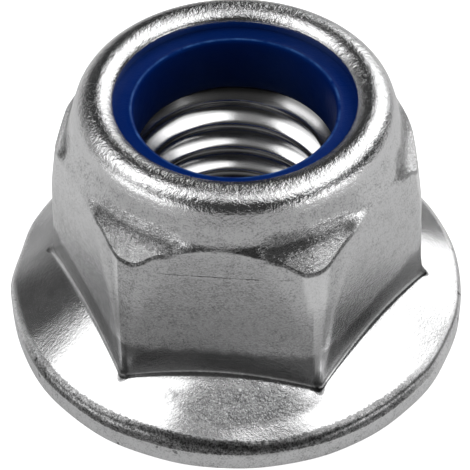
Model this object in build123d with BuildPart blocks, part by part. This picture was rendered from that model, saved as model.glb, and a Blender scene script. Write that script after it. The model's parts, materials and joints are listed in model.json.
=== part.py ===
from build123d import *
from math import cos, pi, radians, sin, sqrt, tan
import os

# Prevailing-torque flange nut, M8: a forged steel body with a hexagon, a cone-topped flange with a
# serrated bearing face, and a collar rolled over a nylon locking ring.
# Millimetres. The origin is at the centre of the bearing face, +Z runs up the thread axis.

# Thread, which the bore is left at the right size for: the bore is the thread's minor diameter
thread_diameter = 8.0
thread_pitch = 1.25
countersink_margin = 0.35
countersink_angle = 100.0
lead_in_margin = 0.1

# Flange
flange_diameter = 17.9
rim_height = 1.15
flange_slope = 28.0
rim_top_round = 0.35
rim_base_chamfer = 0.14

# Serrations: ramps around the bearing face, each ending in one steep side
serration_count = 30
serration_depth = 0.2
serration_land = 0.3
serration_inner_margin = 1.15
serration_outer_margin = 0.4

# Hexagon: its corners grow blunter from the flange up, slowly and then fast, under a steep chamfer
across_flats = 12.75
nut_height = 10.79
foot_fillet = 0.3
foot_corner_round = 0.3
middle_corner_round = 1.9
top_corner_round = 4.0
corner_fade_length = 2.3
corner_top_length = 0.2
corner_chamfer_angle = 28.0

# Collar and its rolled lip
collar_height = 2.29
collar_inset = 0.43
collar_wall = 0.695
collar_taper = 12.0
collar_foot_fillet = 0.2
lip_round = 0.85
lip_drop = 0.27
lip_thickness = 0.42
lip_overlap = 0.765

# Locking ring, whose bore is smaller than the screw that cuts into it
ring_height = 2.35
ring_bite = 0.275
ring_edge_chamfer = 0.12

# Radii worked out from the sizes above
thread_radius = thread_diameter / 2
bore_radius = thread_radius - 5 / 8 * thread_pitch * sqrt(3) / 2
lead_in_radius = thread_radius + lead_in_margin
countersink_radius = thread_radius + countersink_margin
flange_radius = flange_diameter / 2
flat_distance = across_flats / 2
corner_reach = flat_distance / cos(radians(30))
collar_radius = flat_distance - collar_inset
ring_radius = collar_radius - collar_wall
ring_bore_radius = thread_radius - ring_bite
lip_opening_radius = ring_radius - lip_overlap

# Heights worked out from the sizes above
hexagon_height = nut_height - collar_height
corner_fade_end = hexagon_height - corner_top_length
corner_fade_start = corner_fade_end - corner_fade_length
lip_edge_height = nut_height - lip_drop
ring_top = lip_edge_height - lip_thickness
ring_seat_height = ring_top - ring_height
lead_in_depth = lead_in_radius - bore_radius
countersink_depth = (countersink_radius - bore_radius) / tan(radians(countersink_angle / 2))

# The flange's top cone, carried on to the axis
cone_apex = rim_height + flange_radius * tan(radians(flange_slope))

# The collar's tapered wall leaves the lip's outer round at the wall top
crown_radius = collar_radius - lip_round
wall_top_radius = crown_radius + lip_round * cos(radians(collar_taper))
wall_top_height = nut_height - lip_round * (1 - sin(radians(collar_taper)))

# The same wall meets the corner chamfer's cone, which passes through the top of the flats
chamfer_rise = 1 / tan(radians(corner_chamfer_angle))
wall_spread = tan(radians(collar_taper))
foot_drop = wall_top_height - hexagon_height - (flat_distance - wall_top_radius) * chamfer_rise
foot_drop = foot_drop / (1 - wall_spread * chamfer_rise)
collar_foot_radius = wall_top_radius + foot_drop * wall_spread
collar_foot_height = wall_top_height - foot_drop
chamfer_end_height = hexagon_height - (corner_reach - flat_distance) * chamfer_rise

# Turned outline: everything above the flange lies inside this shape
with BuildPart() as turned_top:
    with BuildSketch(Plane.XZ) as top_outline:
        with BuildLine():
            Polyline(
                (0, 0),
                (corner_reach, 0),
                (corner_reach, chamfer_end_height),
                (collar_foot_radius, collar_foot_height),
                (wall_top_radius, wall_top_height),
            )
            TangentArc(
                (wall_top_radius, wall_top_height),
                (crown_radius, nut_height),
                tangent=(-wall_spread, 1),
            )
            TangentArc(
                (crown_radius, nut_height),
                (lip_opening_radius, lip_edge_height),
                tangent=(-1, 0),
            )
            Polyline((lip_opening_radius, lip_edge_height), (0, lip_edge_height), (0, 0))
        make_face()
        collar_foot = (collar_foot_radius, collar_foot_height, 0)
        fillet(top_outline.vertices().sort_by_distance(collar_foot)[0], collar_foot_fillet)
    revolve(axis=Axis.Z)

# One gap between two serrations: a ramp that rises from the steep side to the next land
with BuildPart() as serration_gap:
    for radius in (countersink_radius + serration_inner_margin, flange_radius - serration_outer_margin):
        gap_width = 2 * radius * sin(pi / serration_count) - serration_land
        with BuildSketch(Plane(origin=(radius, 0, 0), x_dir=(0, 1, 0), z_dir=(1, 0, 0))):
            with BuildLine():
                Polyline((0, 0), (gap_width, 0), (0, serration_depth), close=True)
            make_face()
    loft(ruled=True)

# Steel body
with BuildPart() as nut_body:
    # A hexagonal bar whose corners grow blunter towards the top, then turned down
    for height, round_radius in (
        (rim_height, foot_corner_round),
        (corner_fade_start, middle_corner_round),
        (corner_fade_end, top_corner_round),
        (nut_height, top_corner_round),
    ):
        with BuildSketch(Plane.XY.offset(height)):
            RegularPolygon(flat_distance, 6, major_radius=False)
            fillet(vertices(), round_radius)
    loft(ruled=True)
    add(turned_top.part, mode=Mode.INTERSECT)

    # Flange, with a small fillet where the hexagon stands on its cone
    with BuildSketch(Plane.XZ) as flange_outline:
        with BuildLine():
            Polyline((0, 0), (flange_radius, 0), (flange_radius, rim_height), (0, cone_apex), close=True)
        make_face()
        rim_corners = flange_outline.vertices().group_by(Axis.X)[-1].sort_by(Axis.Y)
        chamfer(rim_corners[0], rim_base_chamfer)
        fillet(rim_corners[-1], rim_top_round)
    revolve(axis=Axis.Z)
    fillet(edges(Select.NEW), foot_fillet)

    # Serrations
    with PolarLocations(0, serration_count):
        add(serration_gap.part, mode=Mode.SUBTRACT)

    # Countersunk bore, and the locking ring's seat above it
    with BuildSketch(Plane.XZ):
        with BuildLine():
            Polyline(
                (0, 0),
                (countersink_radius, 0),
                (bore_radius, countersink_depth),
                (bore_radius, ring_seat_height - lead_in_depth),
                (lead_in_radius, ring_seat_height),
                (ring_radius, ring_seat_height),
                (ring_radius, ring_top),
                (lip_opening_radius, ring_top),
                (lip_opening_radius, nut_height),
                (0, nut_height),
                close=True,
            )
        make_face()
    revolve(axis=Axis.Z, mode=Mode.SUBTRACT)

# Locking ring
with BuildPart() as locking_ring:
    with BuildSketch(Plane.XY.offset(ring_seat_height)):
        Circle(ring_radius)
        Circle(ring_bore_radius, mode=Mode.SUBTRACT)
    extrude(amount=ring_height)
    bore_edges = edges().filter_by(GeomType.CIRCLE).group_by(SortBy.RADIUS)[0]
    chamfer(bore_edges, ring_edge_chamfer)

os.makedirs("parts", exist_ok=True)
nut_body.part.label = "nut_body"
export_step(nut_body.part, "parts/nut_body.step")
locking_ring.part.label = "locking_ring"
export_step(locking_ring.part, "parts/locking_ring.step")
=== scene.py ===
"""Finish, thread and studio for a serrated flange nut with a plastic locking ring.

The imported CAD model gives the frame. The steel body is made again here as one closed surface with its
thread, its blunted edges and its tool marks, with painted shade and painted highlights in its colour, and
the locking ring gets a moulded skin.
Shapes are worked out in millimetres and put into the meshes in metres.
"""

import json
import math
from types import SimpleNamespace

import bpy
import numpy as np
from mathutils import Matrix, Vector


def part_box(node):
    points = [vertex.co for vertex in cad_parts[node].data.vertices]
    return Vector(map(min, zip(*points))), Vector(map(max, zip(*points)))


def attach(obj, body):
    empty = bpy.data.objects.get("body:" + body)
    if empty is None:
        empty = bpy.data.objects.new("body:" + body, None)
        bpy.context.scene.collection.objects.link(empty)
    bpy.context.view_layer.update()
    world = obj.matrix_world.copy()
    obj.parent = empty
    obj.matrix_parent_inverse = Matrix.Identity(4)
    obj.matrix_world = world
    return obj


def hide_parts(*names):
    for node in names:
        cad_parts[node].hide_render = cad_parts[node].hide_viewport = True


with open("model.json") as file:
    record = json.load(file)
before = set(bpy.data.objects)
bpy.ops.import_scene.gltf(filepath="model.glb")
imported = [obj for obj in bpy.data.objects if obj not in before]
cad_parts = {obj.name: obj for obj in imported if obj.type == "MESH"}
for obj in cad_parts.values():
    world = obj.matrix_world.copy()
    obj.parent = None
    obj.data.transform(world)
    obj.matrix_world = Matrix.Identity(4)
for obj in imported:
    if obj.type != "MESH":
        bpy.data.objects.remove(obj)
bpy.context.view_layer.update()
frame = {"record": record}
mm = 0.001

# Points are merged when they agree to so many decimals, and compared within the tolerance
weld_decimals = 5
tolerance = 1e-6


# ---------------- sizes, in millimetres and degrees

def from_frame(name):
    """Lowest and highest corner of a CAD node, in millimetres."""
    low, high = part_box(name)
    return np.array(low) / mm, np.array(high) / mm


mount_sizes = {mount["name"]: mount.get("dims") for mount in frame["record"]["mounts"]}
body_high = from_frame("nut_body")[1]
ring_low, ring_high = from_frame("locking_ring")
flange_radius = body_high[0]
nut_height = body_high[2]
ring_radius = ring_high[0]
ring_top = ring_high[2]
ring_seat_height = ring_low[2]
bore_radius = mount_sizes["thread"]["r_mm"]
ring_bore_radius = mount_sizes["ring_bore"]["r_mm"]

# Thread and bore. The wear widens each side of a groove. A flank rises by the steepness for each
# millimetre along the axis, so that two flanks stand 64 degrees apart
thread_radius = 4.0
thread_pitch = 1.25
thread_start_height = 1.38
thread_wear = 0.05
thread_steepness = 1.6
crest_round = 0.12
root_round = 0.04
countersink_radius = 4.35
countersink_angle = 100.0
countersink_round = 0.03
lead_in_radius = 4.1
lead_in_round = 0.12
bore_end_margin = 0.05

# Flange and its rim
rim_height = 1.15
rim_top_round = 0.35
rim_base_round = 0.14
flange_slope = 28.0

# How the forged rim strays: bumps, each with its height, direction and half width, and ripples. Its top
# round is larger in front. What lifts the rim's top dies away over the flange
rim_round_bumps = [(0.25, 262, 32)]
rim_outline_bumps = [(0.05, 188, 5), (-0.1, 174, 8)]
rim_lift_bumps = [(0.15, 254, 17), (0.11, 312, 16), (-0.13, 286, 13), (-0.12, 90, 70)]
rim_outline_ripple = 0.012
rim_lift_ripple = 0.008
rim_inset = 0.02
flange_ripple = 0.006
lift_fade = 1.5

# Serrations, and the rows of the underside, which lie close together at the serrations' two ends
serration_count = 30
serration_depth = 0.2
serration_land = 0.3
serration_inner_radius = 5.5
serration_outer_radius = 8.55
underside_rows = [4.42, 4.7, 5.1, 5.48, 5.52, 6.1, 6.75, 7.4, 8.05, 8.53, 8.57, 8.7]

# Hexagon, whose corners grow blunter with the height. The foot's fillet is larger under a corner
flat_distance = 6.375
hexagon_height = 8.5
foot_fillet = 0.3
foot_fillet_growth = 0.5
foot_fillet_reach = 1.6
foot_corner_round = 0.3
middle_corner_round = 1.9
top_corner_round = 4.0
corner_fade_start = 6.0
corner_fade_end = 8.3
corner_chamfer_angle = 28.0
chamfer_edge_round = 0.05
chamfer_edge_limit = 8.8
flank_crowding = 1.6

# The chamfer's facet is hollow round each corner: its sides stand proud of the cone
facet_hollow = 0.22
facet_half_angle = 12.0
hollow_side_ramp = (2, facet_half_angle)
hollow_top_ramp = (9.15, 8.5)
between_facets_drop = 0.4
between_facets_ramp = (15, 30)

# A bead runs round the facet just above the chamfer's edge
edge_bead_height = 0.03
edge_bead_width = 0.06
edge_bead_place = 0.14
edge_bead_side_ramp = (1.1, 0.8)

# Collar and its rolled lip
collar_radius = 5.945
collar_taper = 12.0
collar_foot_height = 9.0
collar_foot_fillet = 0.2
collar_foot_growth = 0.08
collar_foot_ramp = (14, 22)
lip_round = 0.85
lip_drop = 0.27
lip_opening_radius = 4.485

# Edges of the ring's bore
ring_edge_round = 0.12
ring_ripple = 0.006

# Edges that turn by more than this are shaded sharp
body_sharp_angle = 65
plain_sharp_angle = 60

# Worked out from the sizes above
crown_radius = collar_radius - lip_round
wall_top_radius = crown_radius + lip_round * math.cos(math.radians(collar_taper))
wall_top_height = nut_height - lip_round * (1 - math.sin(math.radians(collar_taper)))
lip_edge_height = nut_height - lip_drop
lip_reach = crown_radius - lip_opening_radius
lip_inner_round = (lip_reach**2 + lip_drop**2) / (2 * lip_drop)
flange_fall = math.tan(math.radians(flange_slope))
chamfer_lean = math.tan(math.radians(corner_chamfer_angle))
wall_lean = math.tan(math.radians(collar_taper))
countersink_fall = 1 / math.tan(math.radians(countersink_angle / 2))
lead_in_foot = ring_seat_height - (lead_in_radius - bore_radius)


# ---------------- where the finishes, the painted shade and the painted highlights lie, in millimetres
# A ramp is a pair: where a finish begins, and where it is full.

mark_names = ("rim", "foot", "corner", "facet", "strip", "lip", "bore")

# The facets and the strip of painted shade round them: from the chamfer's edge up, by height, and beside the
# corner in half angles of the facet
facet_edge_ramp = (0.05, 0.12)
facet_top_ramps = [(0.25, (9.5, 9.2)), (0.75, (9.1, 8.75))]
facet_side_ramp = (1.6, 0.9)
shaded_strip_edge_ramp = (-0.14, -0.05)
shaded_strip_top_ramp = (9.1, 8.8)
shaded_strip_side_ramp = (1.7, 1.0)

# The hexagon's corners carry a painted highlight over a width that grows with the height
highlight_heights = [2.0, 4.5, 6.5, 8.0]
highlight_widths = [0.12, 0.18, 0.4, 0.6]
highlight_side_shares = (1.25, 0.8)
highlight_end_ramp = (0.02, -0.1)

# The foot's fillet and the lowest stretch of the flanks, which carry painted shade, and the points that the
# corners run out in
foot_fillet_share = 0.8
foot_top_ramp = (4.1, 3.2)
foot_base_ramp = (2.4, 3.0)
foot_point_share = 1.2
foot_point_angle = 1.5
foot_point_ramp = (3.1, 2.5)
foot_point_share_ramp = (1.0, 1.4)
foot_shade_ramp = (0.15, 0.75)

# Heights at which one part of the body gives way to the next
flange_to_flank_ramp = (2.3, 2.9)
flank_to_collar_ramp = (9.9, 10.1)
lip_ramp = (9.85, 10.1)

# A dull patch on the front of the flange, longer round the nut than across
patch_place = (1.5, -7.6, 1.8)
patch_size = (3.4, 1.3, 1.5)
patch_ramp = (1.15, 0.55)
patch_rim_ramp = (8.5, 8.1)
patch_rim_lean = 0.12

# A score line across the front flank, with breaks in it
score_height = 7.6
score_ramp = (0.05, 0.01)
score_front_ramp = (-6.2, -6.35)
score_break_ramp = (-0.15, 0.1)

# The front corners carry the painted highlight on one side only, up to a hard line, and painted shade on the
# other
left_shaded_ramps = [(-3.74, -3.68), (0, -1)]
right_shaded_ramps = [(3.42, 3.36), (0, 1)]
right_shaded_top_ramp = (6.5, 5.0)
front_corners_ramp = (-4.5, -5)

# The left flank is darker low down: a painted shade
shadow_side_ramp = (-3.9, -4.3)
shadow_front_ramp = (0, -1)
shadow_top_ramp = (6.4, 5.4)

# The facets carry painted shade towards the collar, and the right one on its left side too, with a mottle
facet_shade_top_ramp = (8.4, 8.75)
facet_shade_side_ramp = (3.7, 2.9)
facet_shade_middle_ramp = (0, 2)

# A line of painted shade runs along the rim's top round, in front
rim_shade_line_side_ramp = (flange_radius - 0.4, flange_radius - 0.34)
rim_shade_line_base_ramp = (rim_height - 0.32, rim_height - 0.26)
rim_shade_line_front_ramp = (-3, -6)

# Painted shade in the thread's root, on its crest and on the lead-in
thread_root_ramp = (3.7, 3.9)
thread_crest_ramp = (3.43, 3.34)
lead_in_shade_ramp = (lead_in_foot - 0.1, lead_in_foot + 0.1)


# ---------------- what the finishes, the painted shade and the painted highlights are made of

# Irregularities of the steel: cells to the millimetre, detail and roughness of each noise
steel_noise_sizes = {
    "swells": (0.8, 2, 0.5),
    "breaks": (1.1, 2, 0.5),
    "clouds": (1.3, 3, 0.55),
    "smears": (2.2, 4, 0.7),
    "pocks": (3, 1, 0.5),
    "blotches": (3.5, 3, 0.6),
    "pits": (5, 2, 0.5),
    "glints": (7, 2, 0.7),
    "grain": (9, 3, 0.7),
    "specks": (11, 2, 0.6),
    "speckle": (14, 2, 0.8),
    "dust": (20, 2, 0.7),
}
# Some show only where they are strong
strong_noise_ramps = {
    "smears": (-0.05, 0.3),
    "pocks": (0.2, 0.24),
    "pits": (0.16, 0.3),
    "glints": (0.08, 0.16),
    "specks": (0.08, 0.24),
}
# Marks that follow the axis: cells round it and to the millimetre along, detail and roughness
turning_mark_size = (20, 11, 3, 0.65)
die_mark_size = (40, 4, 2, 0.6)

# How far the irregularities move a finish's edge
patch_wander = {"clouds": 0.9}
score_wander = {"clouds": 0.05}
shadow_wander = {"clouds": 0.5}
foot_wander = {"clouds": 0.4, "blotches": 0.3, "dust": 0.5}
facet_shade_top_wander = {"grain": 1.2, "clouds": 0.3}
facet_shade_side_wander = {"grain": 2}
rim_shade_line_side_wander = {"grain": 0.25}
rim_shade_line_base_wander = {"grain": 0.15}

# Relief of the steel, in millimetres: the grain's own and what it has more on some places, then the rest
grain_relief = 0.006
grain_relief_more = {"facet": 0.035, "patch": 0.02, "lip": 0.015, "flank": 0.005}
swell_relief = 0.008
turning_relief = 0.001
turning_relief_more = {"facet": 0.25}
lip_relief = {"die_marks": 0.01, "blotches": 0.025}
glint_relief = 0.06
score_depth = 0.01
pit_depth = 0.01

steel_roughness = 0.15
cloud_roughness = {"clouds": 0.1}
roughness_more = {"flange": 0.04, "rim": 0.14, "patch": 0.12, "bore": 0.06}

# Grime and painted shade from 0 to 1: the plain skin's grime, the flanks' and the rim's, the patch's, the
# facets' painted shade and its mottle, the grime and painted shade that the corners' painted highlight
# lightens and by how much, then what each place adds. Where the glints lighten the patch and the facets,
# they are painted glints
skin_grime = {"smears": 0.1, "specks": 0.1}
flank_grime = 0.04
flank_grime_more = {"speckle": 2, "clouds": 0.4, "blotches": 0.8}
flank_grime_places = {"flank": 1, "rim": 0.8}
patch_grime = 0.55
patch_grime_more = {"dust": 2, "blotches": 1, "glints": -0.6}
facet_side_shade = 2
facet_shade_mottle = {"dust": 3, "blotches": 1, "glints": -0.8}
grime_and_shade_under_highlight = {"score": 0.35, "foot_grime": 0.7, "grimy_corner": 0.15}
highlight_lift = 0.6
# Painted shade on all but the pocked rim and the corners' feet
grime_and_shade_more = {
    "strip": 0.75,
    "lead_in": 0.3,
    "dull": 0.6,
    "rim_line": 0.75,
    "thread_grime": 0.6,
    "pocked": 0.6,
    "foot_point": 0.3,
    "shadow": 0.2,
}

# The steel is painted lighter along the corners, on the facets and on the rim: a painted highlight
steel_colour = (0.69, 0.69, 0.695)
highlight_colour = (0.96, 0.96, 0.965)
highlight_places = {"worn": 1, "facet": 1, "rim": 0.6}
grime_and_shade_colour = (0.08, 0.08, 0.08)

# The ring is darker down its bore and towards the back, a painted shade and a painted shadow of the lip, and
# lighter along its bore's edge, a painted highlight
nylon_cloud_size = (1.6, 3, 0.6)
nylon_skin_size = (12, 2, 0.6)
nylon_colour = (0.0, 0.015, 0.13)
shaded_nylon_colour = (0.0, 0.009, 0.045)
edge_highlight_nylon_colour = (0.06, 0.16, 0.42)
nylon_depth_ramp = (ring_top - 0.3, ring_top - 2.4)
nylon_depth_share = 0.5
nylon_back_ramp = (1, 4.5)
nylon_back_share = 0.3
nylon_cloud_share = 0.3
edge_highlight_ramps = [
    (ring_bore_radius + 0.05, ring_bore_radius + 0.1),
    (ring_bore_radius + 0.18, ring_bore_radius + 0.13),
]
edge_highlight_share = 0.3
edge_highlight_cloud_share = 2
nylon_roughness = 0.42
nylon_cloud_roughness = 0.2
nylon_skin_relief = 0.006
nylon_cloud_relief = 0.02
nylon_sheen = (0.05, 0.3, 1.0)
nylon_specular = 0.2


# ---------------- camera, floor and light

# The camera's focal length and shift are in pixels of a square frame
frame_pixels = 470
focal_pixels = 2007.85
camera_shift_pixels = 0.5
camera_clip = (0.01, 10)
camera_place = Vector((-0.061, -55.337, 58.796)) * mm
camera_tilt = math.radians(45.03)
camera_roll = math.radians(-0.49)
camera_turn = math.radians(5.64)

# The floor is darker in front, a painted shade, and darkest in a half ring of painted shadow just in front
# of the flange. It glows white to the camera and faintly to mirrors. Its sizes are in millimetres
floor_half_width = 1000
floor_unseen_colour = (0.0, 0.0, 0.0)
floor_seen_colour = (0.95, 0.95, 0.95)
floor_mirrored_share = 0.1
floor_front_colour = (0.5, 0.5, 0.5)
floor_back_colour = (0.72, 0.72, 0.72)
floor_shade_colour = (0.18, 0.18, 0.18)
floor_back_ramp = (-13, -1)
shade_ring_ramps = [(15.5, 10.5), (9.6, 10.4)]
shade_front_ramp = (-3, -7)

# Each softbox has its direction as two angles from straight up, to the camera's right and away from it,
# then its width, depth and spin, all in degrees. Its distance is in metres
softboxes = {
    "left_softbox": (-36, 1, 42, 38, 22),
    "right_softbox": (27, -9, 38, 28, 0),
    "back_softbox": (33, 38, 40, 54, -22),
}
softbox_distance = 0.5
softbox_radiance = 2.1

# Each glow of the room has its direction and its reach in degrees, and its radiance. It begins and is
# full at shares of its reach
glows = [
    (-98, -5, 40, 0.3),
    (-65, 75, 26, 0.35),
    (-3, -6, 18, 0.25),
    (-62, -45, 22, 0.25),
    (69, -54, 14, 2.2),
    (82, -33, 14, 2.2),
    (-67, -57, 14, 1.9),
    (-84, -27, 14, 1.9),
]
glow_shares = (1.3, 0.6)
room_radiance = 0.045


# ---------------- shape helpers

def soft_min(a, b, blend):
    """The smaller of two values, with their meeting rounded: half of (a + b - sqrt((a - b)^2 + blend^2))."""
    return (a + b - np.sqrt((a - b) ** 2 + blend**2)) / 2


def soft_max(a, b, blend):
    """The larger of two values, with their meeting rounded in the same way."""
    return -soft_min(-a, -b, blend)


def smooth_step(ramp, value):
    """0 where the ramp begins and 1 where it is full, along 3t^2 - 2t^3 between them."""
    begins, full = ramp
    t = np.clip((value - begins) / (full - begins), 0, 1)
    return t * t * (3 - 2 * t)


def bumps(angle, table):
    """A sum of humps round the axis, each height * exp(-(offset / half width)^2), with the offset from
    its direction in degrees."""
    total = 0
    for height, centre, half_width in table:
        offset = (np.degrees(angle) - centre + 180) % 360 - 180
        total = total + height * np.exp(-((offset / half_width) ** 2))
    return total


def ripples(angle, along, seed, waves, turns, lengths):
    """Irregular waves of about unit size: a sum of cosines of whole turns round the axis and of random
    lengths along the section, with random phases and strengths."""
    pick = np.random.default_rng(seed)
    total = 0
    for _ in range(waves):
        turn = pick.integers(turns[0], turns[1] + 1)
        rate = pick.uniform(-1, 1) * 2 * math.pi / pick.uniform(lengths[0], lengths[1])
        total = total + pick.normal() * np.cos(turn * angle + rate * along + pick.uniform(0, 2 * math.pi))
    return total / math.sqrt(waves / 2)


def column_angles():
    """The directions of the grid's columns. Each serration has the same columns, closer together beside
    its steep side, and every fifth steep side lies under a corner of the hexagon."""
    near = np.array([0.2, 0.45, 0.8, 1.3])
    tooth = 360 / serration_count
    between = np.linspace(near[-1], tooth - near[-1], 13)[1:-1]
    within = np.concatenate([[0], near, between, tooth - near[::-1]])
    return np.radians((np.arange(serration_count)[:, None] * tooth + within).ravel())


def off_corner(angle):
    """Radians from the nearest corner of the hexagon, which are at 0, 60, 120 degrees and so on."""
    return np.abs((angle + math.pi / 6) % (math.pi / 3) - math.pi / 6)


def hexagon_radius(angle, corner_round):
    """Distance from the axis to a hexagon whose corners are arcs: flat / cos(offset from the flat's middle),
    or near a corner c cos(offset) + sqrt(round^2 - (c sin(offset))^2), where c is the arc's centre."""
    offset = off_corner(angle)
    centre = (flat_distance - corner_round) / math.cos(math.pi / 6)
    meeting = np.arctan2(corner_round / 2, centre + corner_round * math.cos(math.pi / 6))
    flat = flat_distance / np.cos(math.pi / 6 - offset)
    arc = centre * np.cos(offset)
    arc = arc + np.sqrt(np.maximum(corner_round**2 - (centre * np.sin(offset)) ** 2, 0))
    return np.where(offset < meeting, arc, flat)


def flank_radius(angle, height):
    """The hexagon at a height: its corners' rounding grows slowly and then fast up to the chamfer."""
    heights = [rim_height, corner_fade_start, corner_fade_end, nut_height]
    rounds = [foot_corner_round, middle_corner_round, top_corner_round, top_corner_round]
    return hexagon_radius(angle, np.interp(height, heights, rounds))


def chamfer_radius(angle, height):
    """The surface that takes off the corners: a cone through the top of the flats, which stands proud by
    the hollow's depth beside each corner, a little less between corners, and not at all by the collar."""
    offset = np.degrees(off_corner(angle))
    proud = smooth_step(hollow_side_ramp, offset)
    proud = proud * (1 - between_facets_drop * smooth_step(between_facets_ramp, offset))
    proud = facet_hollow * proud * smooth_step(hollow_top_ramp, height)
    return flat_distance + (hexagon_height - height) * chamfer_lean + proud


def upper_radius(angle, height, edge):
    """Outside of the hexagon, its corner chamfers and the collar's wall, with their meetings rounded. The
    low bead round each facet falls off as exp(-(distance from its line / width)^2)."""
    offset = np.degrees(off_corner(angle))
    wall = wall_top_radius + (wall_top_height - height) * wall_lean
    fillet = collar_foot_fillet + collar_foot_growth * smooth_step(collar_foot_ramp, offset)
    turned = soft_max(chamfer_radius(angle, height), wall, fillet)
    on_corner = smooth_step(edge_bead_side_ramp, offset / facet_half_angle)
    from_line = (height - edge - edge_bead_place) / edge_bead_width
    bead = edge_bead_height * on_corner * np.exp(-(from_line**2))
    return soft_min(flank_radius(angle, height), turned, chamfer_edge_round) + bead


def chamfer_edge(angle):
    """Height at which the flanks meet the chamfer, in each direction, found by halving."""
    low = np.full_like(angle, rim_height)
    high = np.full_like(angle, chamfer_edge_limit)
    for _ in range(40):
        middle = (low + high) / 2
        below = flank_radius(angle, middle) < chamfer_radius(angle, middle)
        low = np.where(below, middle, low)
        high = np.where(below, high, middle)
    return (low + high) / 2


# ---------------- the steel body

def bearing_face_rows(angle):
    """The underside, from the countersink's edge out to the rim's base round. Between the two serration
    radii it rises by depth * (1 - y / gap), where y is the distance round from the steep side."""
    radius = np.array([countersink_radius, *underside_rows, flange_radius - rim_base_round])
    radius = radius[:, None] + 0 * angle
    tooth = 2 * math.pi / serration_count
    around = radius * (angle % tooth)
    gap = 2 * radius * math.sin(tooth / 2) - serration_land
    serrated = (radius > serration_inner_radius) & (radius < serration_outer_radius)
    return radius, np.where(serrated, serration_depth * np.clip(1 - around / gap, 0, 1), 0)


def rim_outline(angle):
    """How far the forged rim strays from a true circle: small ripples, one swelling and one flat."""
    strays = rim_outline_ripple * ripples(angle, 0, seed=3, waves=14, turns=(2, 24), lengths=(1, 2))
    return strays + bumps(angle, rim_outline_bumps) - rim_inset


def rim_lift(angle):
    """How far the top of the rim strays from its height: long swellings and hollows, and ripples."""
    strays = rim_lift_ripple * ripples(angle, 0, seed=5, waves=16, turns=(3, 30), lengths=(1, 2))
    return strays + bumps(angle, rim_lift_bumps)


def rim_rows(angle):
    """The rim: a small round at its base, a plain wall, and the round over to the flange's cone, which is
    larger in front. The top round's centre lies one rounding inside the wall and under the slope."""
    turn = np.radians(np.linspace(-90, 0, 5)[1:, None])
    base_radius = flange_radius - rim_base_round + rim_base_round * np.cos(turn) + 0 * angle
    base_height = rim_base_round + rim_base_round * np.sin(turn) + 0 * angle
    rounding = rim_top_round + bumps(angle, rim_round_bumps)
    centre = rim_height + flange_fall * rounding - rounding / math.cos(math.radians(flange_slope))
    centre = centre + rim_lift(angle)
    share = np.linspace(0, 1, 7)[1:-1, None]
    wall_radius = flange_radius + 0 * share + 0 * angle
    wall_height = rim_base_round + share * (centre - rim_base_round)
    turn = np.radians(np.linspace(0, 90 - flange_slope, 8)[:, None])
    top_radius = flange_radius - rounding + rounding * np.cos(turn)
    top_height = centre + rounding * np.sin(turn)
    radius = np.concatenate([base_radius, wall_radius, top_radius])
    return radius + rim_outline(angle), np.concatenate([base_height, wall_height, top_height])


def flange_height(radius):
    """The flange's top, which is a cone."""
    return rim_height + (flange_radius - radius) * flange_fall


def flange_rows(angle, start_radius, start_height, foot_radius):
    """The flange's top, from the rim's round in to the foot's fillet, with slight swellings. The rim's
    straying height dies away inwards."""
    share = np.linspace(0, 1, 15)[1:-1, None]
    radius = start_radius + share * (foot_radius - start_radius)
    strays = start_height - flange_height(start_radius)
    height = flange_height(radius) + strays * (1 - share) ** lift_fade
    swell = ripples(angle, radius, seed=7, waves=14, turns=(2, 9), lengths=(3, 8))
    return radius, height + flange_ripple * 4 * share * (1 - share) * swell


def foot_rows(angle):
    """The hollow round between the flange and the flanks: an arc tangent to the flange and to the flank.
    It is larger under the corners, which run out on the flange as small points."""
    under_corner = np.exp(-((np.degrees(off_corner(angle)) / foot_fillet_reach) ** 2))
    rounding = foot_fillet * (1 + foot_fillet_growth * under_corner)
    flank = flank_radius(angle, rim_height + foot_fillet)
    lean = math.radians(flange_slope)
    centre = flange_height(flank + rounding * (1 - math.sin(lean))) + rounding * math.cos(lean)
    turn = np.radians(np.linspace(270 - flange_slope, 180, 8)[:, None])
    return flank + rounding + rounding * np.cos(turn), centre + rounding * np.sin(turn)


def upper_rows(angle, start_height):
    """The flanks, the chamfer and the collar's wall. Rows crowd towards the chamfer's edge and its foot."""
    edge = chamfer_edge(angle)
    below_edge = edge - chamfer_edge_round
    share = 1 - np.linspace(1, 0, 15)[1:-1, None] ** flank_crowding
    flank = start_height + share * (below_edge - start_height)
    share = np.array([0, 0.035, 0.07, 0.11, 0.15, 0.19, 0.24, 0.3, 0.42, 0.56, 0.7, 0.85, 1])[:, None]
    facet = below_edge + share * (collar_foot_height - below_edge)
    share = np.array([0.03, 0.07, 0.13, 0.22, 0.36, 0.54, 0.76])[:, None]
    collar = collar_foot_height + share * (wall_top_height - collar_foot_height) + 0 * angle
    height = np.concatenate([flank, facet, collar])
    return upper_radius(angle, height, edge), height


def lip_rows(angle):
    """The rolled lip: an arc from the tapered wall up to the crown, and a flatter arc down to the
    opening."""
    outer = np.radians(np.linspace(collar_taper, 90, 17)[:, None])
    fall = math.asin(lip_reach / lip_inner_round)
    inner = math.pi / 2 + np.linspace(0, fall, 10)[1:, None]
    radius = np.concatenate([lip_round * np.cos(outer), lip_inner_round * np.cos(inner)])
    height = np.concatenate([lip_round * (np.sin(outer) - 1), lip_inner_round * (np.sin(inner) - 1)])
    return crown_radius + radius + 0 * angle, nut_height + height + 0 * angle


def seat_rows(angle):
    """The lip's rounded edge and its underside, and the seat that holds the ring."""
    section = np.array([
        (lip_opening_radius - 0.015, lip_edge_height - 0.05),
        (lip_opening_radius - 0.01, lip_edge_height - 0.22),
        (lip_opening_radius + 0.015, ring_top),
        (lip_opening_radius + 0.415, ring_top),
        (ring_radius, ring_top),
        (ring_radius, ring_seat_height),
        (lead_in_radius + 0.6, ring_seat_height),
        (lead_in_radius + 0.1, ring_seat_height),
    ])
    return section[:, :1] + 0 * angle, section[:, 1:] + 0 * angle


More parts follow.
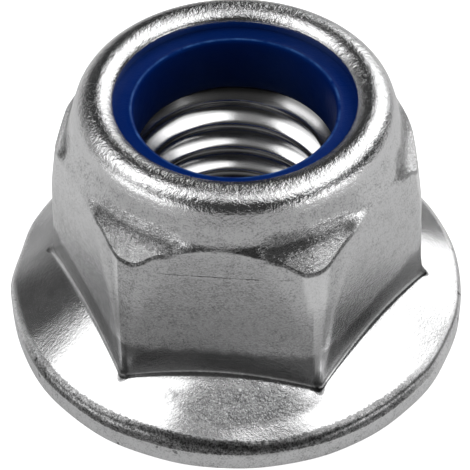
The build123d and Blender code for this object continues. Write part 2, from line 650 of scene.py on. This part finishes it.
def body_outside(angle):
    """All rows of the body's outside as radius and height, and the row at which each part begins."""
    rim = rim_rows(angle)
    foot = foot_rows(angle)
    parts = {
        "bearing": bearing_face_rows(angle),
        "rim": rim,
        "flange": flange_rows(angle, rim[0][-1], rim[1][-1], foot[0][0]),
        "foot": foot,
        "upper": upper_rows(angle, foot[1][-1]),
        "lip": lip_rows(angle),
        "seat": seat_rows(angle),
    }
    radius = np.concatenate([part[0] for part in parts.values()])
    height = np.concatenate([part[1] for part in parts.values()])
    counts = [len(part[0]) for part in parts.values()]
    starts = dict(zip(parts, np.cumsum([0] + counts)))
    return radius, height, starts


def thread_radius_at(angle, height):
    """Radius of the threaded bore: the worn grooves of a right-hand thread, with straight flanks, cut
    short at their root and crest, or the countersink or the lead-in where that is wider."""
    across = (height - thread_start_height) / thread_pitch - angle / (2 * math.pi)
    across = np.abs((across + 0.5) % 1 - 0.5) * thread_pitch
    groove = thread_radius - (across - thread_pitch / 16 - thread_wear) * thread_steepness
    groove = soft_min(soft_max(groove, bore_radius, crest_round), thread_radius, root_round)
    below = countersink_radius - height / countersink_fall
    above = bore_radius + (height - lead_in_foot)
    return soft_max(soft_max(groove, below, countersink_round), above, lead_in_round)


def thread_grid(angle):
    """The threaded bore as rows that climb with the thread, held between its two ends. The first and
    last columns are the same line, one pitch apart in their rows."""
    angle = np.append(angle, 2 * math.pi)
    phase = np.array([0, 0.06, 0.11, 0.2, 0.3, 0.345, 0.38, 0.45, 0.55, 0.62, 0.655, 0.7, 0.8, 0.89, 0.94])
    turns = np.arange(-3, 6)[:, None]
    steps = (turns + phase).ravel()[:, None]
    height = thread_start_height + thread_pitch * (steps + angle / (2 * math.pi))
    height = np.clip(height, bore_end_margin, ring_seat_height - bore_end_margin)
    return thread_radius_at(angle, height), height, angle


def cylinder_points(radius, angle, height):
    """Points in millimetres from radius, direction and height."""
    return np.stack([radius * np.cos(angle), radius * np.sin(angle), height + 0 * radius], -1)


def grid_faces(rows, columns, closed):
    """Four-sided faces of a grid of points, wrapped round its columns where it is closed."""
    row = np.arange(rows - 1)[:, None] * columns
    column = np.arange(columns if closed else columns - 1)
    after = (column + 1) % columns
    corners = [row + column, row + after, row + columns + after, row + columns + column]
    return np.stack(corners, -1).reshape(-1, 4)


def weld(points, faces):
    """Merges points that fall together, drops faces that have closed up, and makes triangles of faces
    that have lost one corner."""
    rounded = np.round(points, weld_decimals)
    _, first, same = np.unique(rounded, axis=0, return_index=True, return_inverse=True)
    faces = same.reshape(-1)[faces]
    differs = faces != np.roll(faces, -1, axis=1)
    quads = faces[differs.all(1)]
    lost_one = differs.sum(1) == 3
    return points[first], quads, faces[lost_one][differs[lost_one]].reshape(-1, 3)


def surface_marks(angle, radius, height, starts):
    """Where each finish and each stretch of painted shade or highlight lies on the outside grid, from 0 to
    1, and the distance along the section.
    """
    marks = {name: np.zeros_like(radius) for name in mark_names}
    marks["rim"][starts["rim"]:starts["flange"]] = 1
    marks["lip"][starts["lip"]:starts["seat"]] = 1

    # The facets, and the strip round them that carries painted shade
    upper = slice(starts["upper"], starts["lip"])
    level = height[upper]
    beyond = level - chamfer_edge(angle)
    beside = np.degrees(off_corner(angle)) / facet_half_angle
    by_collar = sum(share * smooth_step(ramp, level) for share, ramp in facet_top_ramps)
    facet = smooth_step(facet_edge_ramp, beyond) * by_collar * smooth_step(facet_side_ramp, beside)
    # The strip is painted shade
    strip = smooth_step(shaded_strip_edge_ramp, beyond) * smooth_step(shaded_strip_top_ramp, level) - facet
    marks["facet"][upper] = facet
    marks["strip"][upper] = np.maximum(strip, 0) * smooth_step(shaded_strip_side_ramp, beside)
    marks["lip"][upper] = smooth_step(lip_ramp, level)

    # The corners' painted highlight, up to the chamfer's edge
    from_corner = off_corner(angle) * radius[upper]
    width = np.interp(level, highlight_heights, highlight_widths)
    worn = smooth_step((highlight_side_shares[0] * width, highlight_side_shares[1] * width), from_corner)
    marks["corner"][upper] = worn * smooth_step(highlight_end_ramp, beyond)

    # The foot, and the points that the corners run out in
    at_corner = np.exp(-((np.degrees(off_corner(angle)) / foot_point_angle) ** 2))
    foot = slice(starts["foot"], starts["upper"])
    across = np.linspace(0, foot_fillet_share, len(radius[foot]))[:, None]
    marks["foot"][foot] = across + foot_point_share * at_corner
    low = smooth_step(foot_top_ramp, level) * smooth_step(foot_base_ramp, level)
    marks["foot"][upper] = low + at_corner * smooth_step(foot_point_ramp, level)

    steps = np.hypot(np.diff(radius, axis=0), np.diff(height, axis=0))
    marks["along"] = np.concatenate([np.zeros((1, len(angle))), np.cumsum(steps, axis=0)])
    return marks


def end_of_bore(points, level):
    """The bore's points at one of its ends, in order round the axis."""
    on_end = np.flatnonzero(np.abs(points[:, 2] - level) < tolerance)
    angle = np.arctan2(points[on_end, 1], points[on_end, 0]) % (2 * math.pi)
    return on_end[np.argsort(np.where(angle > 2 * math.pi - tolerance, 0, angle))]


def steel_body():
    """The steel body as one closed surface: points, faces and the marks at each point."""
    angle = column_angles()
    radius, height, starts = body_outside(angle)
    rows, columns = radius.shape
    outside = cylinder_points(radius, angle, height).reshape(-1, 3)

    bore_radii, bore_heights, bore_angles = thread_grid(angle[::2])
    bore = cylinder_points(bore_radii, bore_angles, bore_heights).reshape(-1, 3)
    bore, quads, threes = weld(bore, grid_faces(*bore_radii.shape, False))

    # Each end of the bore has half as many points as the outside's row beside it
    count = len(outside)
    low = count + end_of_bore(bore, bore_end_margin)
    high = count + end_of_bore(bore, ring_seat_height - bore_end_margin)
    every = np.arange(columns // 2)
    after = (every + 1) % len(every)
    here, between, beyond = 2 * every, 2 * every + 1, (2 * every + 2) % columns
    last = (rows - 1) * columns
    low_join = [low[every], low[after], beyond, between, here]
    high_join = [last + here, last + between, last + beyond, high[after], high[every]]
    polygons = grid_faces(rows, columns, True).tolist()
    polygons += (quads[:, ::-1] + count).tolist() + (threes[:, ::-1] + count).tolist()
    polygons += np.stack(low_join, -1).tolist() + np.stack(high_join, -1).tolist()

    in_bore = {"bore": 1, "along": bore[:, 2]}
    marks = {
        name: np.concatenate([mark.ravel(), np.zeros(len(bore)) + in_bore.get(name, 0)])
        for name, mark in surface_marks(angle, radius, height, starts).items()
    }
    return np.concatenate([outside, bore]), polygons, marks


# ---------------- the locking ring

def ring_section():
    """The ring's section, from the foot of its bore up and round. The bore's top edge is rounded, and the
    top sinks a little beside it."""
    bore = ring_bore_radius
    foot = ring_seat_height
    foot_edge = [(bore + ring_edge_round, foot), (bore + 0.03, foot + 0.03), (bore, foot + ring_edge_round)]
    wall = [(bore, height) for height in np.linspace(foot + ring_edge_round, ring_top - 0.18, 7)[1:]]
    top_edge = [(0.012, 0.12), (0.03, 0.075), (0.055, 0.04), (0.09, 0.012), (0.13, 0)]
    sunk = [(0.17, 0.004), (0.22, 0.014), (0.3, 0.02), (0.5, 0.018), (0.8, 0.006)]
    top = [(bore + out, ring_top - down) for out, down in top_edge + sunk]
    outside = [(ring_radius - 0.3, ring_top), (ring_radius, ring_top), (ring_radius, foot)]
    return np.array(foot_edge + wall + top + outside)


def locking_ring():
    """The plastic ring: its section carried round the axis, with slight ripples."""
    angle = np.radians(np.arange(0, 360, 1.5))
    section = ring_section()
    height = section[:, 1:]
    strays = ring_ripple * ripples(angle, height, seed=11, waves=8, turns=(2, 9), lengths=(1, 3))
    radius = np.clip(section[:, :1] + strays, ring_bore_radius, ring_radius)
    points = cylinder_points(radius, angle, height).reshape(-1, 3)
    rows, columns = radius.shape
    faces = grid_faces(rows, columns, True)
    closing = grid_faces(2, columns, True)
    closing = np.where(closing < columns, closing + (rows - 1) * columns, closing - columns)
    return points, faces[:, ::-1].tolist() + closing[:, ::-1].tolist()


# ---------------- putting shapes into meshes

def add_mesh(name, points, polygons, sharp_angle, marks=None):
    """An object at the origin, shaded smooth up to the sharp angle, with a point attribute for each mark."""
    mesh = bpy.data.meshes.new(name)
    mesh.from_pydata((points * mm).tolist(), [], polygons)
    mesh.validate()
    mesh.shade_smooth()
    mesh.set_sharp_from_angle(angle=math.radians(sharp_angle))
    for mark, values in (marks or {}).items():
        mesh.attributes.new(mark, "FLOAT", "POINT").data.foreach_set("value", values.astype(np.float32))
    piece = bpy.data.objects.new(name, mesh)
    bpy.context.scene.collection.objects.link(piece)
    return piece


# ---------------- shader sums

class Value:
    """A number or colour inside a node tree, on which Python's sums and products add Math nodes."""

    def __init__(self, nodes, socket):
        self.nodes = nodes
        self.socket = socket

    def math(self, operation, first, second):
        return self.nodes.add("ShaderNodeMath", {"operation": operation}, {0: first, 1: second})

    def __add__(self, other):
        return self.math("ADD", self, other)

    def __radd__(self, other):
        return self.math("ADD", other, self)

    def __sub__(self, other):
        return self.math("SUBTRACT", self, other)

    def __rsub__(self, other):
        return self.math("SUBTRACT", other, self)

    def __mul__(self, other):
        return self.math("MULTIPLY", self, other)

    def __rmul__(self, other):
        return self.math("MULTIPLY", other, self)

    def __abs__(self):
        return self.math("ABSOLUTE", self, 0)


class Nodes:
    """The node tree of a material or of the world."""

    def __init__(self, tree):
        self.tree = tree

    def add(self, kind, settings, sockets, output=0):
        """One node: its settings are set first, then its sockets get their values or links."""
        new = self.tree.nodes.new(kind)
        for name, setting in settings.items():
            setattr(new, name, setting)
        for name, value in sockets.items():
            self.feed(new.inputs[name], value)
        return Value(self, new.outputs[output])

    def feed(self, socket, value):
        """Links a value to a socket, or sets the socket to a number."""
        if isinstance(value, Value):
            self.tree.links.new(value.socket, socket)
        else:
            socket.default_value = value

    def noise(self, place, cells, detail, roughness):
        """Cloudy noise about zero, from -0.5 to 0.5, with so many cells to the unit of place."""
        sockets = {"Vector": place, "Scale": cells, "Detail": detail, "Roughness": roughness}
        return self.add("ShaderNodeTexNoise", {}, sockets) - 0.5

    def turned_noise(self, place, along, around, per_millimetre, detail, roughness):
        """Noise that reads the direction from the axis times around, and the distance along the section
        times per_millimetre."""
        away = self.vector("MULTIPLY", place, (1, 1, 0))
        away = self.add("ShaderNodeVectorMath", {"operation": "NORMALIZE"}, {0: away})
        away = self.vector("MULTIPLY", away, (around, around, 0))
        rise = self.add("ShaderNodeCombineXYZ", {}, {"Z": along * per_millimetre})
        return self.noise(self.vector("ADD", away, rise), 1, detail, roughness)

    def step(self, ramp, value):
        """0 where the ramp begins and 1 where it is full, smoothly."""
        begins, full = ramp
        sockets = {"Value": value, "From Min": begins, "From Max": full}
        return self.add("ShaderNodeMapRange", {"interpolation_type": "SMOOTHSTEP"}, sockets)

    def within(self, ramps, value):
        """A band: the product of two ramps on one value."""
        first, second = ramps
        return self.step(first, value) * self.step(second, value)

    def mark(self, name):
        """One of the mesh's point attributes."""
        return self.add("ShaderNodeAttribute", {"attribute_name": name}, {}, "Fac")

    def vector(self, operation, first, second):
        """A sum, product or quotient of two vectors."""
        return self.add("ShaderNodeVectorMath", {"operation": operation}, {0: first, 1: second})

    def length(self, vector):
        """The length of a vector."""
        return self.add("ShaderNodeVectorMath", {"operation": "LENGTH"}, {0: vector}, "Value")

    def place(self):
        """The point on the object, in millimetres."""
        return self.vector("MULTIPLY", self.add("ShaderNodeTexCoord", {}, {}, "Object"), (1 / mm,) * 3)

    def parts(self, place):
        """The place to the right, to the back and up."""
        return [self.add("ShaderNodeSeparateXYZ", {}, {0: place}, axis) for axis in "XYZ"]

    def off_axis(self, place):
        """Distance from the thread's axis: sqrt(x^2 + y^2)."""
        return self.length(self.vector("MULTIPLY", place, (1, 1, 0)))

    def ray(self, kind):
        """1 for rays of one kind, such as Is Camera Ray."""
        return self.add("ShaderNodeLightPath", {}, {}, kind)

    def bump(self, relief):
        """The surface's direction with a relief in millimetres."""
        sockets = {"Strength": 1.0, "Distance": mm, "Height": relief}
        return self.add("ShaderNodeBump", {}, sockets)

    def blend(self, share, first, second):
        """A colour between two."""
        first = first if isinstance(first, Value) else (*first, 1)
        sockets = {0: share, 6: first, 7: (*second, 1)}
        return self.add("ShaderNodeMix", {"data_type": "RGBA"}, sockets, 2)


def new_material(name):
    """A material, its node tree and the sockets of its shader."""
    material = bpy.data.materials.new(name)
    material.use_nodes = True
    return material, Nodes(material.node_tree), material.node_tree.nodes["Principled BSDF"].inputs


# ---------------- finishes, painted shade and painted highlights

def weigh(values, weights):
    """A sum of some of the values, each times its weight."""
    return sum(getattr(values, name) * weight for name, weight in weights.items())


def steel_noises(nodes, place, along):
    """The steel's irregularities: most lie about zero, and the strong ones run from 0 to 1. The turning
    marks run round the facets, the die marks across the lip."""
    noises = {name: nodes.noise(place, *size) for name, size in steel_noise_sizes.items()}
    for name, ramp in strong_noise_ramps.items():
        noises[name] = nodes.step(ramp, noises[name])
    noises["turning"] = nodes.turned_noise(place, along, *turning_mark_size)
    noises["die_marks"] = nodes.turned_noise(place, along, *die_mark_size)
    return SimpleNamespace(**noises)


def steel_places(nodes, place, marks, noise):
    """Where each part of the body, each finish and each stretch of painted shade or highlight lies, from 0
    to 1: the mesh's own marks, and what follows from the place."""
    at = SimpleNamespace(**marks)
    beside, behind, height = nodes.parts(place)
    away = nodes.off_axis(place)
    above_flange = nodes.step(flange_to_flank_ramp, height)
    below_collar = 1 - nodes.step(flank_to_collar_ramp, height)
    at.outside = 1 - at.bore
    at.flank = above_flange * below_collar * (1 - at.facet) * at.outside
    at.flange = (1 - above_flange) * at.outside

    from_patch = nodes.vector("DIVIDE", nodes.vector("SUBTRACT", place, patch_place), patch_size)
    patch = nodes.step(patch_ramp, nodes.length(from_patch) + weigh(noise, patch_wander))
    at.patch = patch * nodes.step(patch_rim_ramp, away + beside * patch_rim_lean) * (1 - above_flange)

    from_score = abs(height + weigh(noise, score_wander) - score_height)
    score = nodes.step(score_ramp, from_score) * nodes.step(score_front_ramp, behind)
    at.score = score * nodes.step(score_break_ramp, noise.breaks)

    # Painted shade on one side of each front corner, up to a hard line, and the painted highlight on the
    # other
    right_side = nodes.within(right_shaded_ramps, beside) * nodes.step(right_shaded_top_ramp, height)
    shaded_side = nodes.within(left_shaded_ramps, beside) + right_side
    shaded_side = shaded_side * nodes.step(front_corners_ramp, behind)
    at.grimy_corner = at.corner * shaded_side
    at.worn = at.corner * (1 - shaded_side)

    shadow = nodes.step(shadow_side_ramp, beside) * nodes.step(shadow_front_ramp, behind)
    at.shadow = shadow * nodes.step(shadow_top_ramp, height + weigh(noise, shadow_wander)) * at.flank

    # Painted shade on parts of the facets, with a mottle; where the glints lighten it, they are painted
    # glints
    dull = nodes.step(facet_shade_side_ramp, beside + weigh(noise, facet_shade_side_wander))
    dull = dull * nodes.step(facet_shade_middle_ramp, beside)
    dull = dull + nodes.step(facet_shade_top_ramp, height + weigh(noise, facet_shade_top_wander))
    dull = dull + (1 - at.facet) * facet_side_shade + weigh(noise, facet_shade_mottle)
    at.dull = dull * at.facet

    # Painted shade along the rim's top round, in front
    line = nodes.step(rim_shade_line_side_ramp, away + weigh(noise, rim_shade_line_side_wander))
    line = line * nodes.step(rim_shade_line_base_ramp, height + weigh(noise, rim_shade_line_base_wander))
    at.rim_line = line * nodes.step(rim_shade_line_front_ramp, behind) * at.flange
    at.pocked = noise.pocks * at.rim

    # Painted shade on the foot's fillet and on the lowest stretch of the flanks
    at.foot_grime = nodes.step(foot_shade_ramp, at.foot + weigh(noise, foot_wander))
    at.foot_point = nodes.step(foot_point_share_ramp, at.foot)

    # Painted shade in the thread's root, on its crest and on the lead-in
    at.thread_grime = (nodes.step(thread_root_ramp, away) + nodes.step(thread_crest_ramp, away)) * at.bore
    at.lead_in = nodes.step(lead_in_shade_ramp, height) * at.bore
    return at


def steel_relief(at, noise):
    """Relief in millimetres: grain, swells and turning marks, the lip's die marks, the facets' glints, the
    score line and the patch's pits."""
    grain = noise.grain * (grain_relief + weigh(at, grain_relief_more))
    relief = (grain + noise.swells * swell_relief) * at.outside
    relief = relief + noise.turning * (turning_relief + weigh(at, turning_relief_more))
    relief = relief + weigh(noise, lip_relief) * at.lip + noise.glints * at.facet * glint_relief
    return relief - at.score * score_depth - noise.pits * at.patch * pit_depth


def steel_grime_and_shade(at, noise):
    """How dark the steel is made, from 0 to 1: a thin speckled film of grime on the flanks and the rim, more
    grime on the patch and in the score line, and painted shade on the foot and on one side of the front
    corners, all lightened where the corners carry the painted highlight. Painted shade is then added round
    and on the facets, along the rim's top round, in the thread, on the lead-in and low on the left flank,
    and the rim's pocks and the corners' feet are darker."""
    speckled = flank_grime + weigh(noise, flank_grime_more)
    film = weigh(noise, skin_grime) + speckled * weigh(at, flank_grime_places) * (1 - at.foot_grime)
    film = film * at.outside * (1 - at.facet)
    film = film + at.patch * (patch_grime + weigh(noise, patch_grime_more))
    film = film + weigh(at, grime_and_shade_under_highlight)
    return film * (1 - at.worn * highlight_lift) + weigh(at, grime_and_shade_more)


def bright_steel():
    """Formed and tumbled stainless steel: satin flanks, turned corner facets, die marks across the rolled
    lip, a matt patch on the flange, and grime. Painted shade darkens the foot, the hollows, the thread and
    parts of the facets, and painted highlights lighten the corners, the facets and the rim."""
    material, nodes, shader = new_material("bright_steel")
    place = nodes.place()
    marks = {name: nodes.mark(name) for name in mark_names}
    noise = steel_noises(nodes, place, nodes.mark("along"))
    at = steel_places(nodes, place, marks, noise)
    nodes.feed(shader["Normal"], nodes.bump(steel_relief(at, noise)))
    roughness = steel_roughness + weigh(noise, cloud_roughness) + weigh(at, roughness_more)
    nodes.feed(shader["Roughness"], roughness)
    # Painted highlight: the corners, the facets and the rim are lighter
    steel_with_highlight = nodes.blend(weigh(at, highlight_places), steel_colour, highlight_colour)
    # The grime colour also carries the painted shade
    nodes.feed(shader["Base Color"], nodes.blend(steel_grime_and_shade(at, noise), steel_with_highlight, grime_and_shade_colour))
    shader["Metallic"].default_value = 1
    return material


def blue_nylon():
    """Moulded nylon, deep blue, with a faint cloudiness and a soft sheen. Painted shade darkens it down the
    bore and towards the back, and a painted highlight lightens its bore's edge.
    """
    material, nodes, shader = new_material("blue_nylon")
    place = nodes.place()
    behind, height = nodes.parts(place)[1:]
    clouds = nodes.noise(place, *nylon_cloud_size)
    skin = nodes.noise(place, *nylon_skin_size)
    # Painted shade down the bore and a painted shadow towards the back, with a cloudy tone
    depth = nodes.step(nylon_depth_ramp, height) * nylon_depth_share
    depth = depth + nodes.step(nylon_back_ramp, behind) * nylon_back_share + clouds * nylon_cloud_share
    colour = nodes.blend(depth, nylon_colour, shaded_nylon_colour)
    # Painted highlight along the bore's edge
    edge_highlight = nodes.within(edge_highlight_ramps, nodes.off_axis(place)) * (edge_highlight_share + clouds * edge_highlight_cloud_share)
    nodes.feed(shader["Base Color"], nodes.blend(edge_highlight, colour, edge_highlight_nylon_colour))
    nodes.feed(shader["Roughness"], nylon_roughness + clouds * nylon_cloud_roughness)
    nodes.feed(shader["Normal"], nodes.bump(skin * nylon_skin_relief + clouds * nylon_cloud_relief))
    shader["Specular IOR Level"].default_value = nylon_specular
    shader["Specular Tint"].default_value = (*nylon_sheen, 1)
    return material


def pale_floor():
    """A pale matt floor that glows to the camera, faintly to mirrors, and keeps the shadow. Its colour is
    painted darker in front, with a half ring of painted shadow just in front of the flange.
    """
    material, nodes, shader = new_material("pale_floor")
    place = nodes.place()
    behind = nodes.parts(place)[1]
    # Painted shadow in a half ring in front of the flange, and painted shade over the front of the floor
    shade = nodes.within(shade_ring_ramps, nodes.off_axis(place)) * nodes.step(shade_front_ramp, behind)
    colour = nodes.blend(nodes.step(floor_back_ramp, behind), floor_front_colour, floor_back_colour)
    nodes.feed(shader["Base Color"], nodes.blend(shade, colour, floor_shade_colour))
    mirrored = nodes.ray("Is Glossy Ray") + nodes.ray("Is Transmission Ray")
    seen = nodes.ray("Is Camera Ray") + mirrored * floor_mirrored_share
    nodes.feed(shader["Emission Color"], nodes.blend(seen, floor_unseen_colour, floor_seen_colour))
    shader["Emission Strength"].default_value = 1
    shader["Roughness"].default_value = 1
    shader["Specular IOR Level"].default_value = 0
    return material


# ---------------- the studio

def look_at_nut():
    """The camera, tilted down and rolled about its line of sight, then turned round the thread's axis."""
    optics = bpy.data.cameras.new("camera")
    optics.lens = optics.sensor_width * focal_pixels / frame_pixels
    optics.shift_x = camera_shift_pixels / frame_pixels
    optics.clip_start, optics.clip_end = camera_clip
    camera = bpy.data.objects.new("camera", optics)
    bpy.context.scene.collection.objects.link(camera)
    bpy.context.scene.camera = camera
    forward = Vector((0, math.cos(camera_tilt), -math.sin(camera_tilt)))
    right = Vector((1, 0, 0))
    up = right.cross(forward)
    across = right * math.cos(camera_roll) + up * math.sin(camera_roll)
    upward = up * math.cos(camera_roll) - right * math.sin(camera_roll)
    facing = Matrix((across, upward, -forward)).transposed().to_4x4()
    facing.translation = camera_place
    camera.matrix_world = Matrix.Rotation(camera_turn, 4, "Z") @ facing


def direction(right_of, behind):
    """A unit vector at two angles from straight up, in degrees: to the camera's right, then away."""
    tilt = math.radians(math.hypot(right_of, behind))
    swing = math.atan2(behind, right_of) + camera_turn
    return Vector((math.sin(tilt) * math.cos(swing), math.sin(tilt) * math.sin(swing), math.cos(tilt)))


def softbox(name, right_of, behind, width, depth, spin):
    """A rectangular lamp that faces the nut from its direction, with its size and spin as angles."""
    away = direction(right_of, behind)
    lamp = bpy.data.lights.new(name, "AREA")
    lamp.shape = "RECTANGLE"
    lamp.size = 2 * softbox_distance * math.tan(math.radians(width / 2))
    lamp.size_y = 2 * softbox_distance * math.tan(math.radians(depth / 2))
    lamp.energy = softbox_radiance * math.pi * lamp.size * lamp.size_y
    across = Vector((-math.sin(camera_turn), math.cos(camera_turn), 0)).cross(away).normalized()
    facing = Matrix((across, away.cross(across), away)).transposed().to_4x4()
    facing.translation = away * softbox_distance
    box = bpy.data.objects.new(name, lamp)
    box.matrix_world = facing @ Matrix.Rotation(math.radians(spin), 4, "Z")
    box.visible_camera = False
    bpy.context.scene.collection.objects.link(box)


def studio_world():
    """A dark room with soft glows, each a smooth round patch. It is white to the camera."""
    world = bpy.data.worlds.new("studio")
    world.use_nodes = True
    nodes = Nodes(world.node_tree)
    toward = nodes.add("ShaderNodeTexCoord", {}, {}, "Generated")
    level = room_radiance
    for right_of, behind, reach, radiance in glows:
        sockets = {0: toward, 1: direction(right_of, behind)}
        nearness = nodes.add("ShaderNodeVectorMath", {"operation": "DOT_PRODUCT"}, sockets, "Value")
        ramp = [math.cos(math.radians(reach * share)) for share in glow_shares]
        level = nodes.step(ramp, nearness) * radiance + level
    seen = nodes.ray("Is Camera Ray")
    background = world.node_tree.nodes["Background"].inputs
    background["Color"].default_value = (1, 1, 1, 1)
    nodes.feed(background["Strength"], level * (1 - seen) + seen)
    return world


# ---------------- the pieces, the floor and the light

points, polygons, marks = steel_body()
body = add_mesh("forged_nut", points, polygons, body_sharp_angle, marks)
body.data.materials.append(bright_steel())
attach(body, "root")
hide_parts("nut_body")

points, polygons = locking_ring()
ring = add_mesh("nylon_ring", points, polygons, plain_sharp_angle)
ring.data.materials.append(blue_nylon())
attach(ring, "root")
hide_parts("locking_ring")

corners = np.array([(-1, -1, 0), (1, -1, 0), (1, 1, 0), (-1, 1, 0)])
floor = add_mesh("floor", corners * floor_half_width, [(0, 1, 2, 3)], plain_sharp_angle)
floor.data.materials.append(pale_floor())

look_at_nut()
for name, place in softboxes.items():
    softbox(name, *place)
bpy.context.scene.world = studio_world()
bpy.context.scene.view_settings.view_transform = "Standard"
